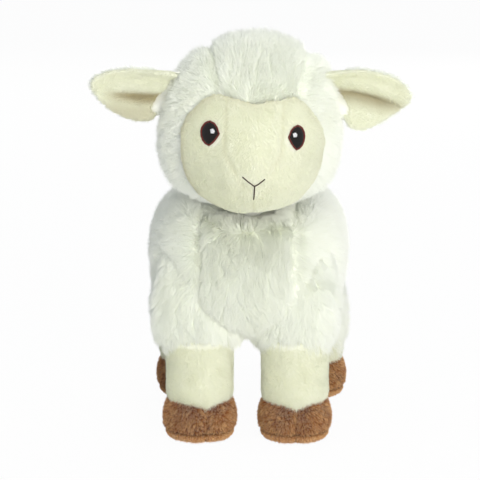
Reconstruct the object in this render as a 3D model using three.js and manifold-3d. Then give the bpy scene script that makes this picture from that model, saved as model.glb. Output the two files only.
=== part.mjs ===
// A plush sheep that stands on four stuffed legs. Its wool coat, velour face and shins and brown
// hooves are separate sewn panels round separate fillings. The head turns and nods on its neck,
// each ear swings on its seam and the tail lifts. Millimetres, +Z up, the face looks along -Y.
// Left and right are as seen from in front, so left is -X. The origin is on the floor below the
// middle of the sheep's box.

import * as THREE from 'three';
import { mergeVertices } from 'three/addons/utils/BufferGeometryUtils.js';
import Module from 'manifold-3d';

const wasm = await Module();
wasm.setup();
const { degToRad } = THREE.MathUtils;

// Cloth, clearances and how finely round forms are divided
const gap = 0.3;
const wool = 7;
const velour = 2.5;
const overrun = 100;
const weld = 0.001;
const egg_sides = 24;
const egg_rings = 16;
const core_sides = 12;
const core_rings = 8;
const scoop_sides = 28;
const scoop_rings = 18;
const limb_sides = 14;
const bore_sides = 8;
const small_sides = 12;

// The middle of the box round the whole sheep, from the torso's mid-plane and its zero of Y
const box_middle = { x: 2.5, y: -0.7 };

// Torso: an egg that is fuller than an ellipsoid, with a chest that swells forward between the legs
const chest_rise = 15;
const chest_spread = degToRad(34);
const chest_dip = degToRad(24);
const torso = {
  x: 0, y: 10, z: 104, left: 61.5, right: 61, front: 74, back: 78, up: 45, down: 44, fullness: 2.8,
  swell: { rise: chest_rise, spread: chest_spread, aim: aimAt(chest_dip) },
};
const torso_bottom = torso.z - torso.down;
const chest_half_width = 29;
const chest_round = 22;
const chest_hem_rise = 2;
const chest_bottom = torso_bottom + chest_hem_rise;
const belly_half_width = 20;
const belly_depth = 24;
const belly_top = torso_bottom + belly_depth;

// Head: the wool is an egg round the pivot. The face is sunk into it and swells at the muzzle.
// All head sizes are from the pivot.
const head_lift = 35;
const head_place = { x: 2.5, y: -43, z: torso.z + torso.up + head_lift };
const head_turned = degToRad(2.2);
const head = {
  x: 0, y: 0, z: 0, left: 54.5, right: 52.5, front: 51.5, back: 51.5, up: 56, down: 51, fullness: 2,
};
const crown = { left: 26, right: 32, top: 56, low_left: 17, low_right: 29, bend: 15, drop: 28 };
const face_sink = 3;
const face_roll = degToRad(3);
const face_half_width = 42;
const face_top = 23;
const face_bottom = 48;
const face_outline_shares = [
  [0, 0.93], [0.35, 1.06], [0.52, 1.1], [0.72, 0.9], [0.92, 0.45], [1, -0.02], [0.97, -0.29],
  [0.87, -0.56], [0.69, -0.8], [0.37, -0.99], [0, -1.05],
];
const gusset = { half_width: 16, bend: 7, end_half_width: 5, end: 24, tip: 28 };
const muzzle_rise = 13;
const muzzle_spread = degToRad(36);
const muzzle_dip = degToRad(20);

// Neck: a plug of filling in a round opening, on an axis that leans forward
const neck_lean = degToRad(19);
const neck_half_angle = degToRad(10);
const neck_room_half_angle = degToRad(22);
const seat_clearance = 0.9;
const neck_sunk = 2;

// Legs: each shank is a velour shin over a hoof and its sole, and each sleeve is wool that runs
// from the hem up to the hip. Places are out from the mid-plane and along Y.
const hoof_height = 23;
const sole_height = 6;
const sole_thick = 3;
const stance_cut = 0.5;
const shank_radius = 20.6;
const shin_waist = 0.7;
const hoof_swell = 0.8;
const sole_round = 3;
const cleft_width = 1.2;
const cleft_depth = 1.5;
const foot_turned = { left: 14, right: 3 };
const front_leg = {
  foot: { out: 28, y: -46 }, hip: { out: 33, y: -26, z: 129 }, half_width: 27.5, half_depth: 27.5,
  hem: 57,
};
const back_leg = {
  foot: { out: 38, y: 58 }, hip: { out: 30, y: 44, z: 127 }, half_width: 26.5, half_depth: 29,
  hem: 33,
};
const sleeve_shares = [
  { up: 0, out: 0, along: 0, girth: 0.95 },
  { up: 0.25, out: 0.3, along: 0.05, girth: 1 },
  { up: 0.5, out: 0.65, along: 0.3, girth: 0.98 },
  { up: 0.74, out: 0.85, along: 0.62, girth: 0.84 },
  { up: 0.93, out: 0.95, along: 0.88, girth: 0.56 },
  { up: 1, out: 1, along: 1, girth: 0.35 },
];

// Ears: two layers cut to a leaf from a bowl that opens forward. Each leaf's outline is in shares
// of its length and half-height, from the middle of the seam. The left ear's tip stands higher.
const ear_sunk = 1;
const ear_seam = { y: -3, z: 18.5, half_length: 12, radius: 3.2 };
const ear_seam_tilt = degToRad(19);
const ear_length = 42;
const ear_half_height = 17;
const ear_outline_shares = {
  left: [
    [0.06, -0.6], [0.13, -0.85], [0.3, -0.9], [0.45, -0.8], [0.65, -0.55], [0.84, -0.14],
    [0.96, 0.3], [0.97, 0.6], [0.9, 0.8], [0.68, 1.02], [0.42, 1.1], [0.12, 1.08], [-0.1, 1.04],
    [0, 0.7],
  ],
  right: [
    [0.06, -0.6], [0.13, -0.95], [0.28, -1.04], [0.45, -0.9], [0.63, -0.67], [0.81, -0.38],
    [0.95, -0.08], [0.98, 0.2], [0.9, 0.52], [0.76, 0.77], [0.54, 0.95], [0.28, 1.06],
    [0.12, 1.06], [-0.1, 1.04], [0, 0.7],
  ],
};
const ear_lining_thick = 2.2;
const ear_back_thick = 3.4;
const ear_bowl_depth = 13;
const ear_bowl_shares = { middle: 0.55, along: 0.84, up: 1.18 };

// Eyes and mouth: flat stitching that follows the face. The eye's outline is in shares of its
// half-width and half-height, with the inner corner at +X.
const eye_place = { out: 24.1, z: 1.9 };
const eye_half_width = 5.8;
const eye_half_height = 7.3;
const eye_outline_shares = [
  [-0.07, 1], [0.39, 0.87], [0.72, 0.59], [0.89, 0.24], [1, 0.09], [0.79, -0.14], [0.56, -0.42],
  [0.23, -0.7], [-0.13, -1], [-0.43, -0.85], [-0.72, -0.62], [-0.92, -0.29], [-1, 0.09],
  [-0.92, 0.39], [-0.66, 0.75], [-0.36, 0.92],
];
const rim_width = 1.1;
const glint_radius = 1.6;
const glint_share = { x: 0.27, z: 0.19 };
const thread_rise = 1;
const mouth = { x: 2, z: -25.2, arm_out: 6.6, arm_up: 5.4, stem: 7.8, width: 1.3 };

// Tail: a flat drop of folded wool cloth on a hinge line across the rump. It hangs a little off
// the wool.
const tail_sunk = 1;
const tail_hinge = { y: torso.y + torso.back - tail_sunk, z: 121, radius: 3.8, half_length: 7 };
const tail = { length: 44, hang_out: 8.4, half_width: 11, half_depth: 5.8 };
const tail_shares = [
  { down: 1, out: 0.95, side: 0.45, deep: 0.52 },
  { down: 0.91, out: 0.98, side: 0.77, deep: 0.86 },
  { down: 0.68, out: 1, side: 1, deep: 1 },
  { down: 0.41, out: 0.95, side: 0.95, deep: 0.9 },
  { down: 0.18, out: 0.79, side: 0.77, deep: 0.76 },
  { down: 0, out: 0.19, side: 0.64, deep: 0.59 },
];

// Materials
const wool_cloth = { color: 0xe9eadf, roughness: 0.95, metalness: 0 };
const velour_cloth = { color: 0xefeecf, roughness: 0.9, metalness: 0 };
const hoof_cloth = { color: 0x8a5a3c, roughness: 0.9, metalness: 0 };
const sole_cloth = { color: 0xa5764f, roughness: 0.9, metalness: 0 };
const black_thread = { color: 0x17120f, roughness: 0.35, metalness: 0 };
const brown_thread = { color: 0x5a2a24, roughness: 0.4, metalness: 0 };
const white_thread = { color: 0xf4f4f0, roughness: 0.4, metalness: 0 };
const filling = { color: 0xf5f5f2, roughness: 1, metalness: 0 };

// Solids and meshes
function solidOf(geometry) {
  const bare = geometry.clone();
  bare.deleteAttribute('normal');
  bare.deleteAttribute('uv');
  const merged = mergeVertices(bare, weld);
  const index = merged.index.array;
  const corners = [];
  for (let i = 0; i < index.length; i += 3) {
    const [a, b, c] = index.slice(i, i + 3);
    if (a !== b && b !== c && c !== a) corners.push(a, b, c);
  }
  return new wasm.Manifold(new wasm.Mesh({
    numProp: 3,
    vertProperties: merged.attributes.position.array,
    triVerts: new Uint32Array(corners),
  }));
}

function meshOf(name, solid, finish) {
  const made = solid.getMesh();
  const geometry = new THREE.BufferGeometry();
  geometry.setAttribute('position', new THREE.BufferAttribute(made.vertProperties, 3));
  geometry.setIndex(new THREE.BufferAttribute(made.triVerts, 1));
  geometry.computeVertexNormals();
  const mesh = new THREE.Mesh(geometry, new THREE.MeshStandardMaterial(finish));
  mesh.name = name;
  return mesh;
}

// The largest piece of a cut shell, without the slivers that a cut can leave
function mainPiece(solid) {
  const pieces = solid.decompose();
  return pieces.reduce((best, piece) => (piece.volume() > best.volume() ? piece : best));
}

// Plain cutters
function block(low, high) {
  const size = low.map((value, i) => high[i] - value);
  const middle = low.map((value, i) => (high[i] + value) / 2);
  return solidOf(new THREE.BoxGeometry(...size).translate(...middle));
}

function ball(radius) {
  return solidOf(new THREE.SphereGeometry(radius, scoop_sides, scoop_rings));
}

// A prism along Y through an outline of [x, z] points that runs anticlockwise seen from in front
function prism(points, front, back) {
  const shape = new THREE.Shape(points.map(([x, z]) => new THREE.Vector2(x, z)));
  const geometry = new THREE.ExtrudeGeometry(shape, { depth: back - front, bevelEnabled: false });
  return geometry.rotateX(Math.PI / 2).translate(0, back, 0);
}

// Everything on one side of the mid-plane, half a gap clear of it
function sideOf(side) {
  const near = (side * gap) / 2;
  const far = side * overrun;
  return block([Math.min(near, far), -2 * overrun, -overrun],
    [Math.max(near, far), 2 * overrun, 3 * overrun]);
}

function above(height) {
  return block([-overrun, -2 * overrun, height], [overrun, 2 * overrun, 3 * overrun]);
}

function below(height) {
  return block([-overrun, -2 * overrun, -overrun], [overrun, 2 * overrun, height]);
}

// Soft forms
function aimAt(dip) {
  return new THREE.Vector3(0, -Math.cos(dip), -Math.sin(dip));
}

function eggPoint(form, way, grow) {
  const sum = Math.abs(way.x) ** form.fullness + Math.abs(way.y) ** form.fullness
    + Math.abs(way.z) ** form.fullness;
  const reach = sum ** (-1 / form.fullness);
  const point = new THREE.Vector3(
    way.x * reach * ((way.x < 0 ? form.left : form.right) + grow),
    way.y * reach * ((way.y < 0 ? form.front : form.back) + grow),
    way.z * reach * ((way.z < 0 ? form.down : form.up) + grow),
  );
  if (form.swell) {
    const off = way.angleTo(form.swell.aim) / form.swell.spread;
    point.addScaledVector(way, form.swell.rise * Math.exp(-off * off));
  }
  return point.add(new THREE.Vector3(form.x, form.y, form.z));
}

function egg(form, grow = 0, sides = egg_sides, rows = egg_rings) {
  const geometry = new THREE.SphereGeometry(1, sides, rows).rotateX(Math.PI / 2);
  const places = geometry.attributes.position;
  for (let i = 0; i < places.count; i += 1) {
    const way = new THREE.Vector3().fromBufferAttribute(places, i).normalize();
    const point = eggPoint(form, way, grow);
    places.setXYZ(i, point.x, point.y, point.z);
  }
  return solidOf(geometry);
}

function shell(form, inner, outer) {
  return egg(form, outer).subtract(egg(form, inner));
}

// The room inside a wool panel, which is plainer than its outside
function core(form, grow) {
  return egg(form, grow, core_sides, core_rings);
}

// A column with flat ends through its stations, where side is -1 for a left leg and 1 for a right
function limb(stations, side, grow = 0, sides = limb_sides, steps = 2 * stations.length - 2) {
  const middles = new THREE.CatmullRomCurve3(
    stations.map((s) => new THREE.Vector3(side * s.out, s.y, s.z)), false, 'catmullrom');
  const radii = new THREE.CatmullRomCurve3(
    stations.map((s) => new THREE.Vector3(s.side, s.deep, 0)), false, 'catmullrom');
  const profile = [new THREE.Vector2(0, 0)];
  for (let i = 0; i <= steps; i += 1) profile.push(new THREE.Vector2(1, i / steps));
  profile.push(new THREE.Vector2(0, 1));
  const geometry = new THREE.LatheGeometry(profile, sides);
  const places = geometry.attributes.position;
  for (let i = 0; i < places.count; i += 1) {
    const middle = middles.getPoint(places.getY(i));
    const radius = radii.getPoint(places.getY(i));
    const x = middle.x + places.getX(i) * (radius.x + grow);
    places.setXYZ(i, x, middle.y - places.getZ(i) * (radius.y + grow), middle.z);
  }
  return solidOf(geometry);
}

function bore(stations, side, grow) {
  return limb(stations, side, grow, bore_sides, stations.length - 1);
}

// Neck
const neck_reach = Math.max(head.right, head.back, head.down);
const neck_inside = neck_reach - wool;
const neck_end = neck_reach + seat_clearance + neck_sunk;

// A cone that opens down the neck with its point at the pivot
function neckCone(half_angle) {
  const length = 2 * neck_end;
  const geometry = new THREE.ConeGeometry(length * Math.tan(half_angle), length, 2 * small_sides);
  return solidOf(geometry.translate(0, -length / 2, 0).rotateX(Math.PI / 2 + neck_lean));
}

function headRoom() {
  const room = neckCone(neck_room_half_angle).intersect(ball(neck_end + gap));
  const scoop = ball(neck_reach + seat_clearance).add(room);
  return scoop.translate([head_place.x, head_place.y, head_place.z]);
}

// Torso and its filling
function chestRegion(grow) {
  const half = chest_half_width + grow;
  const bend = chest_bottom + chest_round;
  const points = [[half, bend], [half, bend + overrun], [-half, bend + overrun], [-half, bend]];
  for (let i = 1; i < small_sides; i += 1) {
    const turn = (Math.PI * i) / small_sides;
    points.push([-half * Math.cos(turn), bend - (chest_round + grow) * Math.sin(turn)]);
  }
  return solidOf(prism(points, -overrun, torso.y + grow));
}

function bellyRegion(grow) {
  const half = belly_half_width + grow;
  return block([-half, -overrun, -overrun], [half, 2 * overrun, belly_top + grow]);
}

function tailGroove() {
  const length = 2 * (tail_hinge.half_length + gap);
  const radius = tail_hinge.radius + gap;
  const geometry = new THREE.CylinderGeometry(radius, radius, length, small_sides);
  return solidOf(geometry.rotateZ(Math.PI / 2).translate(0, tail_hinge.y, tail_hinge.z));
}

function sleeveStations({ foot, hip, half_width, half_depth, hem }) {
  return sleeve_shares.map((share) => ({
    z: hem + share.up * (hip.z - hem),
    out: foot.out + share.out * (hip.out - foot.out),
    y: foot.y + share.along * (hip.y - foot.y),
    side: share.girth * half_width,
    deep: share.girth * half_depth,
  }));
}

function legOf(name, side, leg, turned) {
  return { name, side, sleeve: sleeveStations(leg), foot: leg.foot, hem: leg.hem, turned };
}

const leg_list = [
  legOf('front_left', -1, front_leg, foot_turned.left),
  legOf('front_right', 1, front_leg, foot_turned.right),
  legOf('back_left', -1, back_leg, 0),
  legOf('back_right', 1, back_leg, 0),
];

function torsoMeshes() {
  const wall = egg(torso).subtract(core(torso, -wool)).subtract(headRoom())
    .subtract(tailGroove());
  const legs = leg_list.map((leg) => bore(leg.sleeve, leg.side, -wool));
  const chest = wall.intersect(chestRegion(0));
  const rest = legs.reduce((left, leg) => left.subtract(leg), wall.subtract(chestRegion(gap)));
  const sides = rest.subtract(bellyRegion(gap));
  const stuffing = core(torso, -wool - gap).subtract(headRoom());
  return [
    meshOf('chest_panel', mainPiece(chest), wool_cloth),
    meshOf('belly_panel', mainPiece(rest.intersect(bellyRegion(0))), wool_cloth),
    meshOf('body_side_left', mainPiece(sides.intersect(sideOf(-1))), wool_cloth),
    meshOf('body_side_right', mainPiece(sides.intersect(sideOf(1))), wool_cloth),
    meshOf('body_stuffing', stuffing, filling),
  ];
}

function tailMesh() {
  const stations = tail_shares.map((share) => ({
    z: tail_hinge.z - share.down * tail.length,
    out: 0,
    y: tail_hinge.y + share.out * tail.hang_out,
    side: share.side * tail.half_width,
    deep: share.deep * tail.half_depth,
  }));
  const length = 2 * tail_hinge.half_length;
  const hinge = new THREE.CylinderGeometry(tail_hinge.radius, tail_hinge.radius, length, small_sides)
    .rotateZ(Math.PI / 2).translate(0, tail_hinge.y, tail_hinge.z);
  const drop = limb(stations, 1, 0, small_sides, stations.length);
  return meshOf('tail', drop.add(solidOf(hinge)), wool_cloth);
}

// Legs
function shankStations(foot, hem) {
  const hoof = shank_radius + hoof_swell;
  const at = (z, radius) => ({ z, out: foot.out, y: foot.y, side: radius, deep: radius });
  return [
    at(-stance_cut, hoof - sole_round),
    at(sole_height / 3, hoof - sole_round / 4),
    at(sole_height, hoof),
    at((sole_height + hoof_height) / 2, hoof),
    at(hoof_height, shank_radius),
    at((hoof_height + hem) / 2, shank_radius - shin_waist),
    at(hem + velour, shank_radius),
  ];
}

// The slot between the toes, turned about the foot's axis by so many degrees towards +X
function cleft({ foot, side, turned }) {
  const front = -shank_radius - hoof_swell;
  return block([-cleft_width / 2, front - overrun, -overrun],
    [cleft_width / 2, front + cleft_depth, hoof_height + overrun])
    .rotate([0, 0, turned]).translate([side * foot.out, foot.y, 0]);
}

function legMeshes(leg) {
  const { name, side, sleeve, foot, hem } = leg;
  const rows = shankStations(foot, hem);
  const shank = limb(rows, side, 0, limb_sides, rows.length - 1);
  const lining = bore(rows, side, -velour);
  const skin = shank.subtract(lining);
  const slot = cleft(leg);
  const cloven = skin.subtract(slot);
  const hoof = cloven.intersect(above(sole_height + gap)).intersect(below(hoof_height));
  const sole = shank.subtract(lining.intersect(above(sole_thick))).subtract(slot);
  const sleeve_wall = limb(sleeve, side).subtract(bore(sleeve, side, -wool)).subtract(headRoom());
  const low = bore(rows, side, -velour - gap).intersect(below(hem + gap));
  const column = low.intersect(above(sole_thick + gap)).add(bore(sleeve, side, -wool - gap));
  const chest = chestRegion(gap).intersect(egg(torso, gap));
  return [
    meshOf(`${name}_leg_sleeve`, mainPiece(sleeve_wall.subtract(egg(torso, gap))), wool_cloth),
    meshOf(`${name}_shin`, skin.intersect(above(hoof_height + gap)).intersect(below(hem - gap)),
      velour_cloth),
    meshOf(`${name}_hoof`, hoof, hoof_cloth),
    meshOf(`${name}_sole`, sole.intersect(above(0)).intersect(below(sole_height)), sole_cloth),
    meshOf(`${name}_leg_stuffing`, mainPiece(column.subtract(core(torso, -wool)).subtract(chest)),
      filling),
  ];
}

// Head wool and face
const face = {
  ...head,
  left: head.left - face_sink,
  right: head.right - face_sink,
  front: head.front - face_sink,
  up: head.up - face_sink,
  down: head.down - face_sink,
  swell: { rise: muzzle_rise, spread: muzzle_spread, aim: aimAt(muzzle_dip) },
};

function faceRegion(grow) {
  const half = face_outline_shares.map(([x, z]) => (
    [x * (face_half_width + grow), z * ((z < 0 ? face_bottom : face_top) + grow)]));
  const mirrored = half.slice(1, -1).map(([x, z]) => [-x, z]);
  return solidOf(prism([...mirrored, ...half.reverse()], -overrun, grow).rotateY(face_roll));
}

function gussetRegion(grow) {
  const half = gusset.half_width + grow;
  const end = gusset.end_half_width + grow;
  const low = -gusset.end - grow;
  const points = [[0, -gusset.tip - grow], [end, low], [half, -gusset.bend], [half, overrun],
    [-half, overrun], [-half, -gusset.bend], [-end, low]];
  return solidOf(prism(points, -overrun, overrun).rotateY(face_roll));
}

function crownRegion(grow) {
  const low_left = -crown.low_left - grow;
  const low_right = crown.low_right + grow;
  const points = [[low_left, -crown.drop - grow], [low_right, -crown.drop - grow],
    [low_right, crown.bend], [crown.right + grow, crown.top], [crown.right + grow, overrun],
    [-crown.left - grow, overrun], [-crown.left - grow, crown.top], [low_left, crown.bend]];
  return solidOf(prism(points, -overrun, overrun));
}

function headMeshes() {
  const groove = earHinge(-1, gap).add(earHinge(1, gap));
  const wall = egg(head).subtract(core(head, -wool)).subtract(faceRegion(0)).subtract(groove)
    .subtract(neckCone(neck_half_angle).intersect(ball(neck_end)));
  const sides = wall.subtract(crownRegion(gap));
  const skin = shell(face, -velour, 0).intersect(faceRegion(-gap));
  const cheeks = skin.subtract(gussetRegion(gap));
  const stuffing = core(head, -wool - gap).add(
    egg(face, -velour - gap).intersect(faceRegion(-gap)));
  return [
    meshOf('crown_panel', mainPiece(wall.intersect(crownRegion(0))), wool_cloth),
    meshOf('head_side_left', mainPiece(sides.intersect(sideOf(-1))), wool_cloth),
    meshOf('head_side_right', mainPiece(sides.intersect(sideOf(1))), wool_cloth),
    meshOf('face_centre_panel', mainPiece(skin.intersect(gussetRegion(0))), velour_cloth),
    meshOf('cheek_left', mainPiece(cheeks.intersect(sideOf(-1))), velour_cloth),
    meshOf('cheek_right', mainPiece(cheeks.intersect(sideOf(1))), velour_cloth),
    meshOf('head_stuffing', stuffing, filling),
  ];
}

function neckMesh() {
  const plug = neckCone(neck_half_angle - gap / neck_reach).intersect(ball(neck_end));
  return meshOf('neck_stuffing', plug.subtract(ball(neck_inside)), filling);
}

// Ears
function earSeamOut(side) {
  return (side < 0 ? head.left : head.right) - ear_sunk;
}

function earHinge(side, grow) {
  const radius = ear_seam.radius + grow;
  const length = 2 * (ear_seam.half_length + grow);
  const geometry = new THREE.CylinderGeometry(radius, radius, length, small_sides)
    .rotateX(Math.PI / 2).rotateY(-side * ear_seam_tilt)
    .translate(side * earSeamOut(side), ear_seam.y, ear_seam.z);
  return solidOf(geometry);
}

function earMeshes(side, name) {
  const half_length = ear_bowl_shares.along * ear_length;
  const half_height = ear_bowl_shares.up * ear_half_height;
  const out = earSeamOut(side);
  const bowl = {
    x: side * (out + ear_bowl_shares.middle * ear_length),
    y: ear_seam.y - ear_bowl_depth,
    z: ear_seam.z,
    left: half_length,
    right: half_length,
    front: ear_bowl_depth,
    back: ear_bowl_depth,
    up: half_height,
    down: half_height,
    fullness: 2,
  };
  const outline = ear_outline_shares[name].map(([along, up]) => (
    [side * (out + along * ear_length), ear_seam.z + up * ear_half_height]));
  if (side < 0) outline.reverse();
  const leaf = solidOf(prism(outline, bowl.y, bowl.y + overrun));
  const lining = shell(bowl, 0, ear_lining_thick).intersect(leaf).subtract(earHinge(side, gap));
  const back_from = ear_lining_thick + gap;
  const back = shell(bowl, back_from, back_from + ear_back_thick).intersect(leaf);
  return [
    meshOf(`ear_${name}_lining`, mainPiece(lining), velour_cloth),
    meshOf(`ear_${name}_back`, mainPiece(back.add(earHinge(side, 0))), wool_cloth),
  ];
}

// Eyes and mouth
function eyeRegion(side, shift) {
  const outline = eye_outline_shares.map(([x, z]) => [
    side * (eye_place.out - x * eye_half_width - shift),
    eye_place.z + z * eye_half_height - shift]);
  if (side > 0) outline.reverse();
  return solidOf(prism(outline.reverse(), -overrun, 0).rotateY(face_roll));
}

function glintRegion(side) {
  const geometry = new THREE.CylinderGeometry(glint_radius, glint_radius, overrun, small_sides);
  const x = side * (eye_place.out - glint_share.x * eye_half_width);
  const z = eye_place.z + glint_share.z * eye_half_height;
  return solidOf(geometry.translate(x, -overrun / 2, z).rotateY(face_roll));
}

function eyeMeshes(side, name) {
  const stitched = shell(face, gap, gap + thread_rise).intersect(eyeRegion(side, 0));
  const pupil = stitched.intersect(eyeRegion(side, rim_width));
  const rim = stitched.subtract(eyeRegion(side, rim_width - gap));
  const raised = 2 * gap + thread_rise;
  const glint = shell(face, raised, raised + thread_rise / 2).intersect(glintRegion(side));
  return [
    meshOf(`eye_${name}_pupil`, mainPiece(pupil), black_thread),
    meshOf(`eye_${name}_rim`, mainPiece(rim), brown_thread),
    meshOf(`eye_${name}_glint`, glint, white_thread),
  ];
}

function mouthStroke(end) {
  const length = Math.hypot(end.x, end.z);
  const turn = Math.atan2(end.z, end.x);
  const box = new THREE.BoxGeometry(length + mouth.width / 2, overrun, mouth.width)
    .rotateY(-turn).translate(mouth.x + end.x / 2, -overrun / 2, mouth.z + end.z / 2);
  return solidOf(box.rotateY(face_roll));
}

function mouthMesh() {
  const region = mouthStroke({ x: -mouth.arm_out, z: mouth.arm_up })
    .add(mouthStroke({ x: mouth.arm_out, z: mouth.arm_up }))
    .add(mouthStroke({ x: 0, z: -mouth.stem }));
  const stitched = shell(face, gap, gap + thread_rise / 2).intersect(region);
  return meshOf('nose_mouth_stitch', stitched, black_thread);
}

// The sheep
const sheep = new THREE.Group();
sheep.position.set(-box_middle.x, -box_middle.y, 0);
sheep.add(...torsoMeshes(), tailMesh());
for (const leg of leg_list) sheep.add(...legMeshes(leg));

const head_group = new THREE.Group();
head_group.position.set(head_place.x, head_place.y, head_place.z);
head_group.rotation.z = head_turned;
head_group.add(...headMeshes(), neckMesh(), mouthMesh());
head_group.add(...earMeshes(-1, 'left'), ...earMeshes(1, 'right'));
head_group.add(...eyeMeshes(-1, 'left'), ...eyeMeshes(1, 'right'));
sheep.add(head_group);

export default sheep;
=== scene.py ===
# A plush lamb dressed in Blender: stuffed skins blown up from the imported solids, and the pile of
# the cloth grown on them as strands. The toy's sizes are in millimetres; MM turns them to metres.

import math

import bmesh
import bpy
import numpy as np
from mathutils import Matrix, Vector, noise
from mathutils.bvhtree import BVHTree


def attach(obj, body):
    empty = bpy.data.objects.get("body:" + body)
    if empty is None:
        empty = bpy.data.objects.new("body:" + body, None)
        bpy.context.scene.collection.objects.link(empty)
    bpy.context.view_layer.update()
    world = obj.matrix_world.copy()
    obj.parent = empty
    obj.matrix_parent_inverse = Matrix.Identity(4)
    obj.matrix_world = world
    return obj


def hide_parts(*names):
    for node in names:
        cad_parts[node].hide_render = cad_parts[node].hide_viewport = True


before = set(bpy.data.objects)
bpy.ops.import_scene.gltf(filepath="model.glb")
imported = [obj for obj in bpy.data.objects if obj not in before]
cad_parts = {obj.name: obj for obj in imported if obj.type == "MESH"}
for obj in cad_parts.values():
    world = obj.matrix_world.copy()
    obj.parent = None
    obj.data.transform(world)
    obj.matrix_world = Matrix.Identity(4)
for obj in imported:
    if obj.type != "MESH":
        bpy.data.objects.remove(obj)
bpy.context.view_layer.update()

MM = 0.001
scene = bpy.context.scene

# Where the head's own frame lies, as in the solids
HEAD_PIVOT = np.array((0, -42.3, 184)) * MM
HEAD_TURNED = math.radians(2.2)
FACE_ROLL = math.radians(3)
MID_PLANE = -2.5 * MM
TURN = np.array(Matrix.Rotation(HEAD_TURNED, 3, "Z"))
ROLL = np.array(Matrix.Rotation(FACE_ROLL, 3, "Y"))

# Wool is inset from the solids by its pile, and velour by its nap. A seam holds the cloth to
# SEAM_REACH on each side.
WOOL_INSET = 5.5 * MM
VELOUR_INSET = 1 * MM
SEAM_REACH = 3 * MM

# Kinds of node that come up again and again
MATH, VECTOR, MIX = "ShaderNodeMath", "ShaderNodeVectorMath", "ShaderNodeMix"
STORE, STORED = "GeometryNodeStoreNamedAttribute", "GeometryNodeInputNamedAttribute"
RANDOM = "FunctionNodeRandomValue"
# What every pile and cloth has in common, the plain white of the studio, and the twist of thread
MATT = {"sheen_roughness": 0.5, "specular_ior_level": 0.15}
WHITE = (1, 1, 1, 1)
TWIST_MM = 0.5


# Colours and nodes

def linear(colour):
    """A colour written as an sRGB hex number, turned to linear RGBA"""
    channels = [(colour >> shift & 255) / 255 for shift in (16, 8, 0)]
    return tuple(c / 12.92 if c <= 0.04045 else ((c + 0.055) / 1.055) ** 2.4
                 for c in channels) + (1,)


def add(tree, kind, inputs=None, **settings):
    """A node with its settings. Each input is given a value, or a socket or a node to link, and a
    node stands for its first output that is in use."""
    node = tree.nodes.new(kind)
    for name, value in settings.items():
        setattr(node, name, value)
    for name, value in (inputs or {}).items():
        if isinstance(value, bpy.types.Node):
            value = next(output for output in value.outputs if output.enabled)
        if isinstance(value, bpy.types.NodeSocket):
            tree.links.new(value, node.inputs[name])
        else:
            node.inputs[name].default_value = value
    return node


def ramp_stops(ramp, stops):
    """Sets a colour ramp's two stops from (place, colour) pairs"""
    for element, (place, colour) in zip(ramp.color_ramp.elements, stops):
        element.position = place
        element.color = linear(colour)


def new_material(name):
    """A material with a plain Principled surface, its tree and its shader"""
    material = bpy.data.materials.new(name)
    material.use_nodes = True
    return material, material.node_tree, material.node_tree.nodes["Principled BSDF"]


def settle(shader, **values):
    """Sets plain values on the shader's own sockets, by their names without spaces"""
    for socket in shader.inputs:
        key = socket.name.replace(" ", "_").lower()
        if key in values:
            socket.default_value = values[key]


def pile_material(name, root, tip, dull, crease, patch_mm, roughness, sheen):
    """Cloth fibres. The colour runs from root to tip along each strand, the root painted darker as
    shade deep in the pile; no two strands have quite the same tone, patches of the pile are duller,
    and a stored share mixes in a warm, dark painted shade where seams, folds and grooves would be
    shaded."""
    material, tree, shader = new_material(name)
    place = add(tree, "ShaderNodeTexCoord").outputs["Object"]
    patches = add(tree, "ShaderNodeTexNoise", {"Vector": place, "Scale": 1 / (patch_mm * MM),
                                               "Detail": 3.0, "Roughness": 0.55})
    tone, along, painted_shade_share = (add(tree, "ShaderNodeAttribute", attribute_name=kept).outputs["Fac"]
                         for kept in ("tone", "along", "crease"))
    blended = add(tree, MIX, {0: 0.35, 2: patches.outputs["Fac"], 3: tone})
    shades = add(tree, "ShaderNodeValToRGB", {"Fac": blended})
    ramp_stops(shades, [(0.32, dull), (0.66, tip)])
    # Painted shade: each strand is darker towards its root, as if shaded deep in the pile
    strand = add(tree, MIX, {0: along, 6: linear(root), 7: shades}, data_type="RGBA")
    # Painted shade: a stored share of each vertex mixes in a warm, dark colour where seams, folds
    # and grooves would be shaded
    colour = add(tree, MIX, {0: painted_shade_share, 6: strand, 7: linear(crease)}, data_type="RGBA")
    tree.links.new(colour.outputs[2], shader.inputs["Base Color"])
    settle(shader, roughness=roughness, sheen_weight=sheen, **MATT)
    return material


def cloth_material(name, light, dark, crease, patch_mm, nap_mm, roughness, bump):
    """A backing or short nap: mottled in patches, with a warm, dark painted shade where a stored
    share says that seams, folds and grooves would be shaded, and a bump for its grain
    """
    material, tree, shader = new_material(name)
    place = add(tree, "ShaderNodeTexCoord").outputs["Object"]
    patches, grain = (
        add(tree, "ShaderNodeTexNoise", {"Vector": place, "Scale": 1 / (size_mm * MM),
                                         "Detail": detail, "Roughness": rough}).outputs["Fac"]
        for size_mm, detail, rough in ((patch_mm, 4.0, 0.6), (nap_mm, 2.0, 0.7)))
    shades = add(tree, "ShaderNodeValToRGB", {"Fac": patches})
    ramp_stops(shades, [(0.3, dark), (0.68, light)])
    painted_shade_share = add(tree, "ShaderNodeAttribute", attribute_name="crease").outputs["Fac"]
    # Painted shade: a stored share of each vertex mixes in a warm, dark colour where seams, folds
    # and grooves would be shaded
    colour = add(tree, MIX, {0: painted_shade_share, 6: shades, 7: linear(crease)}, data_type="RGBA")
    tree.links.new(colour.outputs[2], shader.inputs["Base Color"])
    raised = add(tree, "ShaderNodeBump",
                 {"Height": grain, "Strength": bump, "Distance": nap_mm * MM})
    tree.links.new(raised.outputs["Normal"], shader.inputs["Normal"])
    settle(shader, roughness=roughness, sheen_weight=0.2, **MATT)
    return material


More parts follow.
